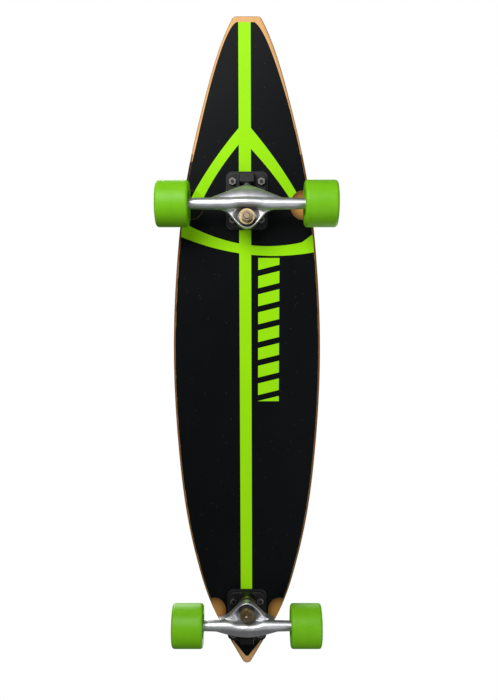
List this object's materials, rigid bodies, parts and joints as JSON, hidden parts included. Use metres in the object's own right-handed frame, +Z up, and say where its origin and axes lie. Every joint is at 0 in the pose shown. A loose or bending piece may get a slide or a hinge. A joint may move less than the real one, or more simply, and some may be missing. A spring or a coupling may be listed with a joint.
{
  "type": "skateboard",
  "caption": "Pintail longboard skateboard with a painted plywood deck on sprung steering trucks and green urethane wheels that turn on ball bearings.",
  "frame": {"origin": "on the ground under the middle of the deck, midway between its nose and tail tips", "axes": "+X towards the nose (the end cut square), +Y to the left, +Z up; the board stands on its wheels at z = 0"},
  "size_m": [0.97, 0.2516, 0.0943],
  "materials": {
    "deck_wood": "laminated plywood, painted underneath",
    "grip": "coarse non-slip grit",
    "riser_plastic": "matt",
    "plate_paint": "satin black over a casting",
    "cast_aluminium": "polished casting",
    "steel": "zinc plated",
    "yellow_steel": "yellow zinc plated",
    "dark_steel": "black oxide",
    "wheel_urethane": "moulded green urethane, satin",
    "bushing_urethane": "moulded black urethane",
    "cup_urethane": "moulded",
    "bearing_steel": "ground",
    "cage_brass": "pressed",
    "shield_steel": "pressed sheet"
  },
  "bodies": {
    "board": {"deck": "deck_wood", "grip_tape": "grip", "front_riser_pad": "riser_plastic", "front_baseplate": "plate_paint", "front_pivot_cup": "cup_urethane", "front_kingpin": "steel", "front_kingpin_nut": "yellow_steel", "front_deckside_bushing": "bushing_urethane", "front_roadside_bushing": "bushing_urethane", "front_deckside_washer": "yellow_steel", "front_roadside_washer": "yellow_steel", "front_mounting_screws": "dark_steel", "front_mounting_nuts": "dark_steel", "rear_riser_pad": "riser_plastic", "rear_baseplate": "plate_paint", "rear_pivot_cup": "cup_urethane", "rear_kingpin": "steel", "rear_kingpin_nut": "yellow_steel", "rear_deckside_bushing": "bushing_urethane", "rear_roadside_bushing": "bushing_urethane", "rear_deckside_washer": "yellow_steel", "rear_roadside_washer": "yellow_steel", "rear_mounting_screws": "dark_steel", "rear_mounting_nuts": "dark_steel"},
    "front_hanger": {"front_hanger": "cast_aluminium", "front_axle": "steel", "front_axle_nuts": "steel", "front_speed_washers": "steel", "front_left_bearing_inner_rings": "bearing_steel", "front_left_bearing_spacer": "steel", "front_right_bearing_inner_rings": "bearing_steel", "front_right_bearing_spacer": "steel"},
    "front_left_wheel": {"front_left_wheel": "wheel_urethane", "front_left_bearing_outer_rings": "bearing_steel", "front_left_bearing_shields": "shield_steel"},
    "front_left_balls": {"front_left_bearing_balls": "bearing_steel", "front_left_bearing_cages": "cage_brass"},
    "front_right_wheel": {"front_right_wheel": "wheel_urethane", "front_right_bearing_outer_rings": "bearing_steel", "front_right_bearing_shields": "shield_steel"},
    "front_right_balls": {"front_right_bearing_balls": "bearing_steel", "front_right_bearing_cages": "cage_brass"},
    "rear_hanger": {"rear_hanger": "cast_aluminium", "rear_axle": "steel", "rear_axle_nuts": "steel", "rear_speed_washers": "steel", "rear_left_bearing_inner_rings": "bearing_steel", "rear_left_bearing_spacer": "steel", "rear_right_bearing_inner_rings": "bearing_steel", "rear_right_bearing_spacer": "steel"},
    "rear_left_wheel": {"rear_left_wheel": "wheel_urethane", "rear_left_bearing_outer_rings": "bearing_steel", "rear_left_bearing_shields": "shield_steel"},
    "rear_left_balls": {"rear_left_bearing_balls": "bearing_steel", "rear_left_bearing_cages": "cage_brass"},
    "rear_right_wheel": {"rear_right_wheel": "wheel_urethane", "rear_right_bearing_outer_rings": "bearing_steel", "rear_right_bearing_shields": "shield_steel"},
    "rear_right_balls": {"rear_right_bearing_balls": "bearing_steel", "rear_right_bearing_cages": "cage_brass"}
  },
  "joints": [
    {"name": "front_steer", "type": "hinge", "parent": "board", "child": "front_hanger", "pos_m": [0.255, 0, 0.0665], "axis": [-0.9048, 0, -0.4258], "range_deg": [-10, 10], "stiffness_Nm_per_rad": 20, "deforming": ["front_deckside_bushing", "front_roadside_bushing"]},
    {"name": "front_left_spin", "type": "hinge", "parent": "front_hanger", "child": "front_left_wheel", "pos_m": [0.223, 0.1028, 0.0325], "axis": [0, 1, 0], "continuous": true},
    {"name": "front_left_balls_roll", "type": "hinge", "parent": "front_hanger", "child": "front_left_balls", "pos_m": [0.223, 0.1028, 0.0325], "axis": [0, 1, 0], "continuous": true},
    {"name": "front_right_spin", "type": "hinge", "parent": "front_hanger", "child": "front_right_wheel", "pos_m": [0.223, -0.1028, 0.0325], "axis": [0, 1, 0], "continuous": true},
    {"name": "front_right_balls_roll", "type": "hinge", "parent": "front_hanger", "child": "front_right_balls", "pos_m": [0.223, -0.1028, 0.0325], "axis": [0, 1, 0], "continuous": true},
    {"name": "rear_steer", "type": "hinge", "parent": "board", "child": "rear_hanger", "pos_m": [-0.429, 0, 0.0665], "axis": [0.9048, 0, -0.4258], "range_deg": [-10, 10], "stiffness_Nm_per_rad": 20, "deforming": ["rear_deckside_bushing", "rear_roadside_bushing"]},
    {"name": "rear_left_spin", "type": "hinge", "parent": "rear_hanger", "child": "rear_left_wheel", "pos_m": [-0.397, 0.0878, 0.0325], "axis": [0, 1, 0], "continuous": true},
    {"name": "rear_left_balls_roll", "type": "hinge", "parent": "rear_hanger", "child": "rear_left_balls", "pos_m": [-0.397, 0.0878, 0.0325], "axis": [0, 1, 0], "continuous": true},
    {"name": "rear_right_spin", "type": "hinge", "parent": "rear_hanger", "child": "rear_right_wheel", "pos_m": [-0.397, -0.0878, 0.0325], "axis": [0, 1, 0], "continuous": true},
    {"name": "rear_right_balls_roll", "type": "hinge", "parent": "rear_hanger", "child": "rear_right_balls", "pos_m": [-0.397, -0.0878, 0.0325], "axis": [0, 1, 0], "continuous": true}
  ],
  "couplings": [
    {"joint": "front_left_balls_roll", "follows": "front_left_spin", "ratio": 0.6323},
    {"joint": "front_right_balls_roll", "follows": "front_right_spin", "ratio": 0.6323},
    {"joint": "rear_left_balls_roll", "follows": "rear_left_spin", "ratio": 0.6323},
    {"joint": "rear_right_balls_roll", "follows": "rear_right_spin", "ratio": 0.6323}
  ]
}
